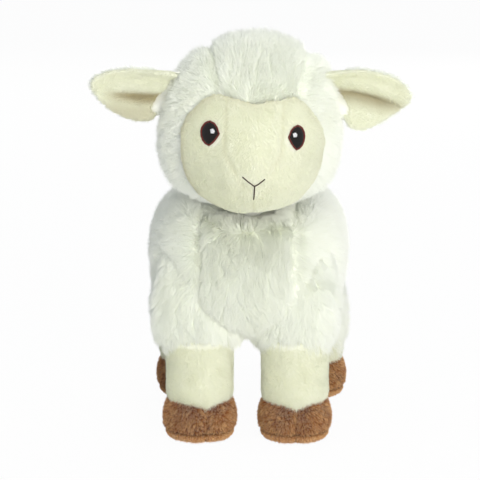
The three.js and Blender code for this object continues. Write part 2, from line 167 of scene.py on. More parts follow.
def thread_material(name, colour, painted_gloss, roughness):
    """Rayon embroidery thread: a tight twist whose silky gloss breaks up along it, painted into the
    colour as lighter patches along the twist, as a painted highlight. The twist is drawn as coarse
    as it needs to show."""
    material, tree, shader = new_material(name)
    place = add(tree, "ShaderNodeTexCoord").outputs["Object"]
    twist = add(tree, "ShaderNodeTexNoise",
                {"Vector": place, "Scale": 1 / (TWIST_MM * MM), "Detail": 2.0})
    shades = add(tree, "ShaderNodeValToRGB", {"Fac": twist.outputs["Fac"]})
    ramp_stops(shades, [(0.35, colour), (0.75, painted_gloss)])
    tree.links.new(shades.outputs["Color"], shader.inputs["Base Color"])
    settle(shader, roughness=roughness, sheen_weight=0.05, specular_ior_level=0.25)
    return material


# Long polyester pile, brushed: off-white, its roots painted a faint green-grey as shade deep in the
# pile
wool_pile = pile_material("long_brushed_wool_pile", 0xF8FAF3, 0xFDFEF9, 0xF9FAF2, 0xE2E0C8,
                          patch_mm=22, roughness=0.8, sheen=0.3)
# Short-napped velour: a warm cream whose nap turns with the hand
velour_nap = pile_material("short_velour_nap", 0xEAEBD7, 0xEFF0DF, 0xE9EBD5, 0xC4BB98,
                           patch_mm=14, roughness=0.8, sheen=0.3)
# Short dense plush, dyed brown: its pale tones are a painted highlight, as where light catches the
# tips, and its dark roots are painted shade deep in the pile
hoof_pile = pile_material("dense_brown_plush_pile", 0x7C421C, 0xFFD498, 0xAE6832, 0x4E2C16,
                          patch_mm=5, roughness=0.6, sheen=0.45)
# The same plush, paler and worn short where the lamb stands on it
# Its pale tones and dark roots are painted highlight and painted shade, as on the hoof
sole_pile = pile_material("worn_sole_plush_pile", 0xB8824E, 0xFFDCA8, 0xE2AE76, 0x4E2C16,
                          patch_mm=4, roughness=0.65, sheen=0.4)
# The knitted grounds that the pile stands on: matt, and seen only deep between the strands
wool_backing = cloth_material("knitted_wool_backing", 0xFBFBF4, 0xF4F5EA, 0xDEDCC4,
                              patch_mm=12, nap_mm=1.2, roughness=0.9, bump=0.3)
velour_backing = cloth_material("velour_face_cloth", 0xEEEFDE, 0xE7E8D2, 0xBEB48E,
                                patch_mm=9, nap_mm=0.7, roughness=0.85, bump=0.35)
hoof_backing = cloth_material("brown_plush_backing", 0x7C4C2A, 0x5C361C, 0x4A2A16,
                              patch_mm=4, nap_mm=0.8, roughness=0.85, bump=0.4)
sole_backing = cloth_material("sole_cloth", 0xA87448, 0x845630, 0x54341C,
                              patch_mm=4, nap_mm=0.8, roughness=0.85, bump=0.4)
# Loose polyester fibre, drawn together in the neck: white, matt and lumpy
fibre_fill = cloth_material("loose_polyester_fill", 0xF7F7F4, 0xE6E6E2, 0xD8D8D2,
                            patch_mm=5, nap_mm=1.0, roughness=1.0, bump=0.5)
# Rayon in satin stitch: a silky gloss that runs across its rows, partly real and partly painted
# into the colour as highlights
black_thread = thread_material("black_rayon_thread", 0x0C0908, 0x191413, 0.42)
brown_thread = thread_material("red_brown_rayon_thread", 0x571B18, 0x7E372C, 0.42)
white_thread = thread_material("white_rayon_thread", 0xC8C9CE, 0xFFFFFF, 0.4)
mouth_thread = thread_material("dark_brown_mouth_thread", 0x2A1A14, 0x4A3226, 0.5)


# Mesh helpers

def new_object(name, data):
    """An object in the scene that shows a mesh, a lamp or a camera"""
    piece = bpy.data.objects.new(name, data)
    scene.collection.objects.link(piece)
    return piece


def evaluated_mesh(piece):
    """The piece's mesh with its modifiers applied"""
    graph = bpy.context.evaluated_depsgraph_get()
    return bpy.data.meshes.new_from_object(piece.evaluated_get(graph))


def bake_modifiers(piece):
    """Puts the modified mesh in place of the plain one, and takes the modifiers off"""
    mesh, plain = evaluated_mesh(piece), piece.data
    piece.modifiers.clear()
    piece.data = mesh
    bpy.data.meshes.remove(plain)


def rows_of(items, what, width=3, kind=float):
    """What each vertex, edge or face of a mesh has, as rows of numbers"""
    flat = np.empty(len(items) * width, dtype=kind)
    items.foreach_get(what, flat)
    return flat.reshape(-1, width)


def points_of(mesh):
    """Where each vertex stands"""
    return rows_of(mesh.vertices, "co")


def normals_of(mesh):
    """Which way the skin faces at each vertex"""
    return rows_of(mesh.vertices, "normal")


def set_points(mesh, points):
    """Moves each vertex to its given place"""
    mesh.vertices.foreach_set("co", points.ravel())
    mesh.update()


def push_out(mesh, amount):
    """Moves each vertex along its normal, all by one amount or each by its own"""
    set_points(mesh, points_of(mesh) + normals_of(mesh) * np.reshape(amount, (-1, 1)))


def lengths(rows):
    """The length of each row, as a column"""
    return np.linalg.norm(rows, axis=1, keepdims=True)


def relax(mesh, rounds, amount=0.5):
    """Moves each vertex towards the mean of its neighbours"""
    points, edges = points_of(mesh), rows_of(mesh.edges, "vertices", 2, int)
    count = np.bincount(edges.ravel(), minlength=len(points))[:, None]
    for _ in range(rounds):
        total = np.zeros_like(points)
        np.add.at(total, edges[:, 0], points[edges[:, 1]])
        np.add.at(total, edges[:, 1], points[edges[:, 0]])
        points += amount * (total / np.maximum(count, 1) - points)
    set_points(mesh, points)


def merged(names):
    """Some CAD nodes as one shape, welded where they meet"""
    shape = bmesh.new()
    for name in names:
        shape.from_mesh(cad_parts[name].data)
    bmesh.ops.remove_doubles(shape, verts=shape.verts, dist=0.001 * MM)
    return shape


def search_tree(shape):
    """A tree that finds places on a shape, which is then let go"""
    tree = BVHTree.FromBMesh(shape)
    shape.free()
    return tree


def as_object(name, shape):
    """An object made of a shape, which is then let go"""
    mesh = bpy.data.meshes.new(name)
    shape.to_mesh(mesh)
    shape.free()
    return new_object(name, mesh)


def joined_form(name, nodes, voxel_mm, rounds):
    """One closed skin round some CAD nodes, remeshed evenly and relaxed"""
    piece = as_object(name, merged(nodes))
    remesh = piece.modifiers.new("even faces", "REMESH")
    remesh.mode = "VOXEL"
    remesh.voxel_size = voxel_mm * MM
    bake_modifiers(piece)
    relax(piece.data, rounds)
    return piece


def panel_facts(points, panels):
    """For each point: its panel, the next panel, how far off their seam is, and the way from it"""
    reach = np.empty((len(points), len(panels)))
    nearest = np.empty((len(points), len(panels), 3))
    for j, nodes in enumerate(panels.values()):
        find = search_tree(merged(nodes)).find_nearest
        for i, point in enumerate(points):
            nearest[i, j], _, _, reach[i, j] = find(point)
    order = np.argsort(reach, axis=1)
    own, other = order[:, 0], order[:, 1]
    rows = np.arange(len(points))
    away = points - nearest[rows, other]
    return own, other, reach[rows, other] - reach[rows, own], away / np.maximum(lengths(away), 1e-9)


def puff(piece, pinned, pressure, cap_mm, steps=20):
    """Blows a skin up as filling does: a cloth with pressure inside, held at its seams"""
    before = points_of(piece.data)
    group = piece.vertex_groups.new(name="seams")
    group.add([int(i) for i in np.flatnonzero(pinned)], 1, "REPLACE")
    filling = piece.modifiers.new("filling", "CLOTH")
    cloth = filling.settings
    cloth.quality = 4
    cloth.use_pressure = True
    cloth.uniform_pressure_force = pressure
    cloth.effector_weights.gravity = 0
    cloth.vertex_group_mass = "seams"
    cloth.tension_stiffness = 15
    cloth.compression_stiffness = 15
    cloth.bending_stiffness = 0.5
    filling.point_cache.frame_start = 1
    filling.point_cache.frame_end = steps
    for step in range(1, steps + 1):
        scene.frame_set(step)
    bake_modifiers(piece)
    scene.frame_set(1)
    piece.vertex_groups.clear()
    moved = points_of(piece.data) - before
    moved *= np.minimum(1, cap_mm * MM / np.maximum(lengths(moved), 1e-9))
    set_points(piece.data, before + moved)
    relax(piece.data, rounds=2)


def sew_in(piece, depth_mm, seam):
    """Draws a skin in along its seams"""
    push_out(piece.data, -depth_mm * MM * np.exp(-(seam / SEAM_REACH) ** 2))


def subdivide(piece):
    """Splits each face in four and rounds the skin off"""
    smooth = piece.modifiers.new("smooth", "SUBSURF")
    smooth.levels = smooth.render_levels = 1
    bake_modifiers(piece)


def stand_in(piece, body, nodes):
    """Puts a piece in the place of its CAD nodes, on the body that it moves with"""
    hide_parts(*nodes)
    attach(piece, body)


def store(mesh, name, values):
    """Keeps a number or a vector for each vertex"""
    values = np.asarray(values, dtype=np.float32)
    single = values.ndim == 1
    kept = mesh.attributes.new(name, "FLOAT" if single else "FLOAT_VECTOR", "POINT")
    kept.data.foreach_set("value" if single else "vector", values.ravel())


def made_by(tree, name, ground_mesh, values):
    """The piece that a node tree makes from a mesh, with values for the tree's inputs"""
    ground = new_object(name + "_ground", ground_mesh)
    modifier = ground.modifiers.new(tree.name, "NODES")
    modifier.node_group = tree
    for socket in tree.interface.items_tree:
        if socket.in_out == "INPUT" and socket.name in values:
            value = values[socket.name]
            is_float = socket.socket_type == "NodeSocketFloat"
            modifier[socket.identifier] = float(value) if is_float else value
    piece = new_object(name, evaluated_mesh(ground))
    bpy.data.objects.remove(ground)
    return piece


# Pile

def new_tree(name, inputs, output):
    """A tree of geometry nodes with named inputs and one output, and what it is given"""
    tree = bpy.data.node_groups.new(name, "GeometryNodeTree")
    kinds = {"Skin": "Geometry", "Lines": "Geometry", "Segments": "Int", "Sides": "Int",
             "Seed": "Int", "Fibre": "Material", "Thread": "Material"}
    for key in inputs:
        tree.interface.new_socket(key, in_out="INPUT",
                                  socket_type="NodeSocket" + kinds.get(key, "Float"))
    tree.interface.new_socket(output, in_out="OUTPUT", socket_type="NodeSocketGeometry")
    return tree, add(tree, "NodeGroupInput").outputs


M, V = MATH, VECTOR
# How a strand's points are placed, step by step: what is made, by which node, from what
STEPS = (
    # Along the skin to the middle of the lock, and the lock's own swirl
    ("inward", V, "SUBTRACT", "middle", "root"),
    ("depth", V, "DOT_PRODUCT", "inward", "up"),
    ("sunk", V, "SCALE", "up", "depth"),
    ("inward", V, "SUBTRACT", "inward", "sunk"),
    ("swirl", V, "ADD", "colour", (-0.5, -0.5, -0.5)),
    ("swirl", V, "SCALE", "swirl", "Lock Swirl"),
    # The way that the strand sets out
    ("stray", V, "SCALE", "stray", "Stray"),
    ("way", V, "SCALE", "flow", "Lean"),
    ("way", V, "ADD", "way", "up"),
    ("way", V, "ADD", "way", "swirl"),
    ("way", V, "ADD", "way", "stray"),
    ("way", V, "NORMALIZE", "way"),
    # At this row it has run so far, bent to the flow and been pulled into its lock
    ("length", M, "MULTIPLY", "Length", "share"),
    ("length", M, "MULTIPLY", "length", "reach"),
    ("square", M, "MULTIPLY", "along", "along"),
    ("run", M, "MULTIPLY", "length", "along"),
    ("bend", M, "MULTIPLY", "Droop", "length"),
    ("bend", M, "MULTIPLY", "bend", "square"),
    ("pull", M, "MULTIPLY", "Lock Pull", "square"),
    # Its girth lies across the way
    ("side", V, "CROSS_PRODUCT", "way", "up"),
    ("side", V, "NORMALIZE", "side"),
    ("third", V, "CROSS_PRODUCT", "way", "side"),
    ("side", V, "SCALE", "side", "x"),
    ("third", V, "SCALE", "third", "y"),
    ("girth", V, "ADD", "side", "third"),
    ("half", M, "MULTIPLY", "Width", 0.5),
    # Where this point goes
    ("point", V, "SCALE", "way", "run"),
    ("bent", V, "SCALE", "flow", "bend"),
    ("pulled", V, "SCALE", "inward", "pull"),
    ("thick", V, "SCALE", "girth", "half"),
    ("point", V, "ADD", "point", "bent"),
    ("point", V, "ADD", "point", "pulled"),
    ("point", V, "ADD", "point", "thick"),
    ("point", V, "ADD", "point", "root"),
    ("soft", V, "ADD", "up", "swirl"),
    # A map on which each strand has a small field of its own
    ("column", M, "FLOORED_MODULO", "strand", "Columns"),
    ("row", M, "DIVIDE", "strand", "Columns"),
    ("row", M, "FLOOR", "row"),
    ("u", M, "MULTIPLY_ADD", "x", 0.35, 0.5),
    ("v", M, "MULTIPLY_ADD", "along", 0.7, 0.15),
    ("u", M, "ADD", "u", "column"),
    ("v", M, "ADD", "v", "row"),
    ("u", M, "DIVIDE", "u", "Columns"),
    ("v", M, "DIVIDE", "v", "Columns"),
)


def pile_tree():
    """Geometry nodes that grow pile on a skin. The skin's cover says where, its flow which way
    the strands lie, and its reach how long they are against the given length."""
    tree, given = new_tree("pile", (
        "Skin", "Density", "Length", "Width", "Lean", "Droop", "Stray", "Lock Size", "Lock Pull",
        "Lock Swirl", "Even", "Segments", "Columns", "Seed", "Fibre"), "Pile")

    # Roots on the skin, each with its normal, its place, its number and its tone
    cover = add(tree, STORED, {"Name": "cover"})
    density = add(tree, MATH, {0: given["Density"], 1: cover}, operation="MULTIPLY")
    roots = add(tree, "GeometryNodeDistributePointsOnFaces",
                {"Mesh": given["Skin"], "Density": density, "Seed": given["Seed"]})
    place = add(tree, "GeometryNodeInputPosition")
    number = add(tree, "GeometryNodeInputIndex")
    tone = add(tree, RANDOM, {2: 0.0, 3: 1.0, "ID": number, "Seed": 4})
    kept = roots
    for name, value, kind in (("up", roots.outputs["Normal"], "FLOAT_VECTOR"),
                              ("root", place, "FLOAT_VECTOR"), ("strand", number, "INT"),
                              ("tone", tone, "FLOAT")):
        kept = add(tree, STORE, {"Geometry": kept, "Name": name, "Value": value}, data_type=kind)

    # A strand is a three-sided spike, so that none is ever seen from behind
    spike = add(tree, "GeometryNodeMeshCone",
                {"Vertices": 3, "Side Segments": given["Segments"], "Radius Top": 0.0,
                 "Radius Bottom": 1.0, "Depth": 1.0}, fill_type="NONE")
    height = add(tree, "ShaderNodeSeparateXYZ", {0: place}).outputs["Z"]
    for name, value, kind in (("along", height, "FLOAT"), ("ring", place, "FLOAT_VECTOR")):
        spike = add(tree, STORE, {"Geometry": spike, "Name": name, "Value": value}, data_type=kind)
    copies = add(tree, "GeometryNodeInstanceOnPoints", {"Points": kept, "Instance": spike})
    pile = add(tree, "GeometryNodeRealizeInstances", {"Geometry": copies})

    # What a point knows: the tree's inputs, what was stored, its lock, which is the cell of a
    # Voronoi pattern that its root stands in, and its share of chance
    field = {socket.name: socket for socket in given}
    for kind, names in (("FLOAT_VECTOR", ("up", "root", "flow", "ring")),
                        ("FLOAT", ("along", "reach")), ("INT", ("strand",))):
        for name in names:
            field[name] = add(tree, STORED, {"Name": name}, data_type=kind)
    around = add(tree, "ShaderNodeSeparateXYZ", {0: field["ring"]}).outputs
    per_lock = add(tree, MATH, {0: 1.0, 1: given["Lock Size"]}, operation="DIVIDE")
    lock = add(tree, "ShaderNodeTexVoronoi", {"Vector": field["root"], "Scale": per_lock},
               voronoi_dimensions="3D").outputs
    stray = add(tree, RANDOM, {0: (-1.0, -1.0, -1.0), 1: (1.0, 1.0, 1.0), "ID": field["strand"],
                               "Seed": 1}, data_type="FLOAT_VECTOR")
    share = add(tree, RANDOM, {2: 0.7, 3: 1.05, "ID": field["strand"], "Seed": 2})
    field |= {"x": around["X"], "y": around["Y"], "middle": lock["Position"],
              "colour": lock["Color"], "stray": stray, "share": share}
    for made, kind, operation, *parts in STEPS:
        keys = (0, "Scale") if operation == "SCALE" else (0, 1, 2)
        field[made] = add(tree, kind, {key: field.get(part, part)
                                       for key, part in zip(keys, parts)}, operation=operation)

    pile = add(tree, "GeometryNodeSetPosition", {"Geometry": pile, "Position": field["point"]})
    # Soft pile scatters light, so its strands are shaded nearly as the skin below them is
    shading = add(tree, MIX, {0: given["Even"], 4: field["girth"], 5: field["soft"]},
                  data_type="VECTOR")
    shading = add(tree, VECTOR, {0: shading}, operation="NORMALIZE")
    spot = add(tree, "ShaderNodeCombineXYZ", {"X": field["u"], "Y": field["v"]})
    for name, value, kind, domain in (("shading", shading, "FLOAT_VECTOR", "POINT"),
                                      ("OFBake", spot, "FLOAT2", "CORNER")):
        pile = add(tree, STORE, {"Geometry": pile, "Name": name, "Value": value},
                   data_type=kind, domain=domain)
    shading = add(tree, STORED, {"Name": "shading"}, data_type="FLOAT_VECTOR")
    pile = add(tree, "GeometryNodeSetMeshNormal", {"Mesh": pile}, mode="FREE", domain="POINT")
    tree.links.new(shading.outputs[0], pile.inputs["Custom Normal"])
    for name in ("up", "root", "flow", "strand", "reach", "cover", "ring", "shading"):
        pile = add(tree, "GeometryNodeRemoveAttribute", {"Geometry": pile, "Name": name})
    pile = add(tree, "GeometryNodeSetMaterial", {"Geometry": pile, "Material": given["Fibre"]})
    add(tree, "NodeGroupOutput", {"Pile": pile})
    return tree


PILE = pile_tree()

# Each kind of pile: strands to a square millimetre, then lengths and widths in millimetres
WOOL = {"Density": 4.2, "Length": 7.4, "Width": 0.5, "Lean": 0.95, "Droop": 0.3, "Stray": 0.25,
        "Lock Size": 6.5, "Lock Pull": 0.26, "Lock Swirl": 0.35, "Even": 0.86, "Segments": 1}
VELOUR = {"Density": 3.6, "Length": 1.5, "Width": 0.36, "Lean": 1.0, "Droop": 0.2, "Stray": 0.4,
          "Lock Size": 3.0, "Lock Pull": 0.1, "Lock Swirl": 0.25, "Even": 0.92, "Segments": 1}
PLUSH = {"Density": 6.0, "Length": 2.3, "Width": 0.38, "Lean": 0.45, "Droop": 0.25, "Stray": 0.5,
         "Lock Size": 1.7, "Lock Pull": 0.65, "Lock Swirl": 0.65, "Even": 0.4, "Segments": 1}
IN_MM = ("Length", "Width", "Lock Size")

# Each cloth: its pile and the pile's material, its ground's material, and its slot
CLOTHS = {
    "wool": (WOOL, wool_pile, wool_backing, "wool_plush"),
    "velour": (VELOUR, velour_nap, velour_backing, "cream_velour"),
    "hoof": (PLUSH, hoof_pile, hoof_backing, "hoof_plush"),
    "sole": (PLUSH, sole_pile, sole_backing, "sole_plush"),
    "fibre": (None, None, fibre_fill, "fibre_fill"),
}


def finish_skin(piece, cloth, body, nodes):
    """The fixed facts of a stuffed skin"""
    _, _, ground, slot = CLOTHS[cloth]
    piece.data.materials.clear()
    piece.data.materials.append(ground)
    piece.data.shade_smooth()
    stand_in(piece, body, nodes)


def grow(name, skin, cover, flow, reach, cloth, body, nodes, seed, **changes):
    """A piece of pile on part of a skin: cover, flow and reach are given for each vertex"""
    kind, fibre, _, slot = CLOTHS[cloth]
    values = {**kind, **changes, "Seed": seed, "Fibre": fibre}
    mesh = skin.data.copy()
    for key, kept in (("cover", cover), ("flow", flow), ("reach", reach)):
        store(mesh, key, kept)
    areas = rows_of(mesh.polygons, "area", 1)[:, 0]
    shares = np.array([cover[list(p.vertices)].mean() for p in mesh.polygons])
    # The map has a field for each strand, and some to spare
    strands = float((areas * shares).sum()) * values["Density"] / MM ** 2
    values["Columns"] = math.ceil(math.sqrt(strands * 1.1 + 20))
    values["Density"] /= MM ** 2
    for key in IN_MM:
        values[key] *= MM
    stand_in(made_by(PILE, name, mesh, values), body, nodes)


def tangent(flow, normals):
    """The part of a flow that lies along the skin"""
    flow = np.broadcast_to(np.asarray(flow, float), normals.shape)
    return flow - (flow * normals).sum(1, keepdims=True) * normals


def drift(points, size_mm, seed):
    """A slow wandering vector for each point, by which hands have brushed the pile"""
    offset = Vector((seed, seed * 0.7, seed * 0.3))
    return np.array([noise.noise_vector(Vector(p) / (size_mm * MM) + offset) for p in points])


# Torso and sleeves

LEGS = ("front_left", "front_right", "back_left", "back_right")
BODY_PANELS = {
    **{name: [name] for name in ("chest_panel", "belly_panel", "body_side_left", "body_side_right",
                                 *(leg + "_leg_sleeve" for leg in LEGS))},
    "inside": ["body_stuffing"] + [leg + "_leg_stuffing" for leg in LEGS],
}
body_names = list(BODY_PANELS)
CHEST, INSIDE = body_names.index("chest_panel"), body_names.index("inside")
body_nodes = [node for nodes in BODY_PANELS.values() for node in nodes]
# The filling's ends are inset less than the wool, so that they close the sleeves
INSIDE_INSET = 2.5 * MM
# The sleeves' swell: its height and spread, how far out it starts, and how much at each side
SWELL_Z, SWELL_SPREAD, SWELL_OUT = 62, 20, 38 * MM
LEFT_SWELL, RIGHT_SWELL = 4.5, 1.5
# How deep the seams are sewn in, deepest at the chest's left side below CHEST_TOP
CHEST_SEAM_DEPTH, SEAM_DEPTH, CHEST_TOP = 2.8, 0.8, 128 * MM

torso = joined_form("torso_skin", body_nodes, voxel_mm=4.5, rounds=8)
panel, _, seam, _ = panel_facts(points_of(torso.data), BODY_PANELS)
inside = panel == INSIDE
push_out(torso.data, -np.where(inside, INSIDE_INSET, WOOL_INSET))
relax(torso.data, rounds=3)
puff(torso, (seam < SEAM_REACH) | inside, pressure=4, cap_mm=3)
subdivide(torso)
points, normals = points_of(torso.data), normals_of(torso.data)
swell = np.exp(-((points[:, 2] / MM - SWELL_Z) / SWELL_SPREAD) ** 2)
swell = swell * (np.abs(points[:, 0] - MID_PLANE) > SWELL_OUT)
swell = swell * np.where(normals[:, 0] < 0, LEFT_SWELL, RIGHT_SWELL)
push_out(torso.data, swell * np.abs(normals[:, 0]) ** 1.5 * MM)
outer = points_of(torso.data) + normals_of(torso.data) * WOOL_INSET
panel, other, seam, away = panel_facts(outer, BODY_PANELS)
by_chest = ((panel == CHEST) | (other == CHEST)) & (other != INSIDE)
at_left = (outer[:, 0] < MID_PLANE) & (outer[:, 2] < CHEST_TOP)
sew_in(torso, np.where(by_chest & at_left, CHEST_SEAM_DEPTH, SEAM_DEPTH), seam)
normals = normals_of(torso.data)
finish_skin(torso, "wool", "body", body_nodes)

BODY_FLOW = {
    "chest_panel": (0, 0, -1), "belly_panel": (0, 1, -0.2),
    "body_side_left": (0, 0.75, -0.75), "body_side_right": (0, 0.75, -0.75),
}
# How long the wool is at the sleeves' hems, against its full length
HEM_REACH = {"front_left_leg_sleeve": 0.65, "front_right_leg_sleeve": 1.0}
BACK_HEM_REACH = 1.25
# The wool behind the chest is thinner than in front
REAR_DENSITY = 0.82
brushed = drift(outer, size_mm=26, seed=3) * 0.7
hem = other == INSIDE
under_hem = hem & (normals[:, 2] < -0.3)
seam_part = np.where(hem, 1, np.clip(seam / (5 * MM), 0, 1))
for number, name in enumerate(body_names[:INSIDE]):
    cover = (panel == number).astype(float)
    flow = tangent(np.array(BODY_FLOW.get(name, (0, 0.1, -1))) + brushed, normals)
    flow /= np.maximum(lengths(flow), 0.5)
    flow = flow + tangent(away, normals) * (1 - seam_part)[:, None] * 0.4
    reach = np.where(under_hem, HEM_REACH.get(name, BACK_HEM_REACH), 0.5 + 0.5 * seam_part)
    sleeve = name.endswith("sleeve")
    rear = name.startswith(("body_side", "back", "belly"))
    grow(name + "_wool", torso, cover, flow, reach, "wool", "body", [name], seed=11 + number,
         Density=WOOL["Density"] * (REAR_DENSITY if rear else 1),
         **({"Lock Size": 7.5, "Lock Swirl": 0.5} if sleeve else {}))


# Head

HEAD_PANELS = {
    **{name: [name] for name in ("crown_panel", "head_side_left", "head_side_right")},
    "face": ["face_centre_panel", "cheek_left", "cheek_right"],
}
FACE = 3
# The fuller places of the head: the way to each from its middle (x, y, z), and how full it is
FULL_PLACES = [
    ((0.72, -0.1, 0.69), 1.2), ((-0.66, -0.1, 0.75), 0.55), ((0.1, 0, 1), 0.6),
    ((-0.95, 0, -0.3), 0.6), ((0.95, 0, -0.3), 0.35), ((-0.75, 0, -0.66), 0.9),
    ((0.75, 0, -0.66), 0.9),
]
FULL_SPREAD = 0.07
HEAD_SWELL = 4.5 * MM
# The skin lies deeper under the face, which is a skin of its own
FACE_BED = 3.5 * MM
# How deep the head's seams are sewn in, deepest at the left of the forehead
FOREHEAD_SEAM_DEPTH, HEAD_SEAM_DEPTH = 2.4, 0.6


def fullness(points):
    """Where the filling makes the head fuller than a plain egg, most of all over the right ear"""
    place = (points - HEAD_PIVOT) @ TURN
    place /= lengths(place)
    total = np.zeros(len(points))
    for aim, amount in FULL_PLACES:
        facing = place @ (np.array(aim) / np.linalg.norm(aim))
        total += amount * np.exp((facing - 1) / FULL_SPREAD)
    return total


head_nodes = [*list(HEAD_PANELS)[:FACE], "head_stuffing"]
head = joined_form("head_skin", head_nodes, voxel_mm=4, rounds=6)
panel, _, seam, _ = panel_facts(points_of(head.data), HEAD_PANELS)
on_face = panel == FACE
push_out(head.data, -np.where(on_face, FACE_BED, WOOL_INSET))
relax(head.data, rounds=2)
puff(head, (seam < SEAM_REACH) | on_face, pressure=4, cap_mm=2.5)
subdivide(head)
outer = points_of(head.data) + normals_of(head.data) * WOOL_INSET
panel, other, seam, away = panel_facts(outer, HEAD_PANELS)
push_out(head.data, fullness(outer) * HEAD_SWELL * (panel != FACE))
at_left = (outer[:, 0] < 0) & (outer[:, 1] < HEAD_PIVOT[1])
sink = np.where(at_left, FOREHEAD_SEAM_DEPTH, HEAD_SEAM_DEPTH)
sew_in(head, np.where((panel == FACE) | (other == FACE), 0, sink), seam)
normals = normals_of(head.data)
finish_skin(head, "wool", "head", head_nodes)

# The crown is brushed up the forehead, over the head and down the back, but for a fringe over
# the face. The sides are brushed down and back.
crown_flow = np.cross(normals, (1, 0, 0))
crown_flow *= np.interp(normals[:, 1], (-1, -0.3, 0.4, 1), (0.5, 1.05, 1.8, 1.8))[:, None]
side_flow = np.array((0, 0.7, -0.6))
brushed = drift(outer, size_mm=26, seed=8) * 0.5
by_face = other == FACE
seam_part = np.clip(seam / (np.where(by_face, 9, 5) * MM), 0, 1)
# How far each panel's wool leans over
HEAD_LEAN = {"crown_panel": 0.45, "head_side_left": 0.75, "head_side_right": 0.5}
for number, (name, lean) in enumerate(HEAD_LEAN.items()):
    cover = (panel == number).astype(float)
    crown = name == "crown_panel"
    flow = tangent((crown_flow if crown else side_flow) + brushed, normals)
    push = (1 - seam_part) * np.where(by_face, -0.7 if crown else 1.1, 0.6)
    flow = flow + tangent(away, normals) * push[:, None]
    reach = np.where(by_face, 0.6 if crown else 0.5, 0.5)
    reach = reach + (1 - reach) * seam_part
    grow(name + "_wool", head, cover, flow, reach, "wool", "head", [name], seed=31 + number,
         Density=4.0, Lean=lean)


# Face

# In the face's own frame: an eye's middle, the bald spot under its stitches, the middle of the
# mouth, and where its strokes end from there
EYE_OUT, EYE_UP = 23.9, 2.5
BALD_HALF_WIDTH, BALD_HALF_HEIGHT = 5.8, 7.4
MOUTH_X, MOUTH_Z = 2, -24.4
MOUTH_STROKES = ((-6.9, 4.9), (5.4, 4.1), (0, -8.4))
# The face seams: how deep they are drawn in, and how far to each side
FACE_SEAM_DEPTH, FACE_SEAM_REACH = 0.7 * MM, 1.7 * MM


def face_places(points):
    """Points in the face's own rolled frame, in millimetres"""
    return (points - HEAD_PIVOT) @ TURN @ ROLL / MM


def from_stroke(x, z, end_x, end_z):
    """How far (x, z) is from a stroke of the mouth"""
    x, z = x - MOUTH_X, z - MOUTH_Z
    part = np.clip((x * end_x + z * end_z) / (end_x ** 2 + end_z ** 2), 0, 1)
    return np.hypot(x - part * end_x, z - part * end_z)


face = joined_form("face_skin", HEAD_PANELS["face"], voxel_mm=1.4, rounds=5)
points = points_of(face.data)
_, _, seam, _ = panel_facts(points, {name: [name] for name in HEAD_PANELS["face"]})
place = face_places(points)
by_mouth = np.minimum.reduce([from_stroke(place[:, 0], place[:, 2], *end)
                              for end in MOUTH_STROKES])
lumps = np.array([noise.noise(Vector(p) / (17 * MM)) for p in points]) * 0.9 * MM
by_seam = np.exp(-(seam / FACE_SEAM_REACH) ** 2) * np.clip(by_mouth / 5, 0, 1)
push_out(face.data, lumps - FACE_SEAM_DEPTH * by_seam - VELOUR_INSET / 2)
relax(face.data, rounds=1)
points, normals = points_of(face.data), normals_of(face.data)
_, _, edge, _ = panel_facts(points, HEAD_PANELS)
# Painted shade where the wool meets the face, deeper on the left, which is turned from the light,
# and a fainter painted shade along the face's seams
shade = np.interp(place[:, 0], (-25, 25), (0.42, 0.2)) * np.exp(-edge / (2.2 * MM))
store(face.data, "crease", np.maximum(0.15 * by_seam ** 2, shade))
finish_skin(face, "velour", "head", HEAD_PANELS["face"])
by_eye = (((np.abs(place[:, 0]) - EYE_OUT) / BALD_HALF_WIDTH) ** 2
          + ((place[:, 2] - EYE_UP) / BALD_HALF_HEIGHT) ** 2)
outward = (normals * (points - HEAD_PIVOT)).sum(1) > 0
cover = (outward & (by_eye > 1)).astype(float)
reach = np.where((by_mouth < 1.6) & (place[:, 1] < 0), 0.4, 1.0)
flow = tangent(np.array((0, 0, -1)) + drift(points, size_mm=22, seed=5) * 0.8, normals)
grow("face_nap", face, cover, flow, reach, "velour", "head", HEAD_PANELS["face"], seed=41)


# Ears and tail

EAR_LENGTH, EAR_HALF_HEIGHT, EAR_MIDDLE_Z = 42, 17, 18.5
# In what the ears differ, as fold_ear names it, in millimetres and in shares of an ear's size; the
# last two are how strong the painted shade is in the valley and on the lower flap
EARS = {"left": (53.5, 0.4, 1.8, 0, 0.03, 0.1, 0.8, 13, 1.3, 0.4),
        "right": (51.5, -1.2, 0.8, 2.5, 0.26, -0.64, 1.0, 0, 0.9, 0)}
UPPER_DRAW = 1.8
VALLEY_DEPTH = 4.6
# The two flaps: how high each stands, how far it is from the valley, and how wide it is
FLAPS = ((2.4, 0.42, 0.26), (1.2, -0.62, 0.3))


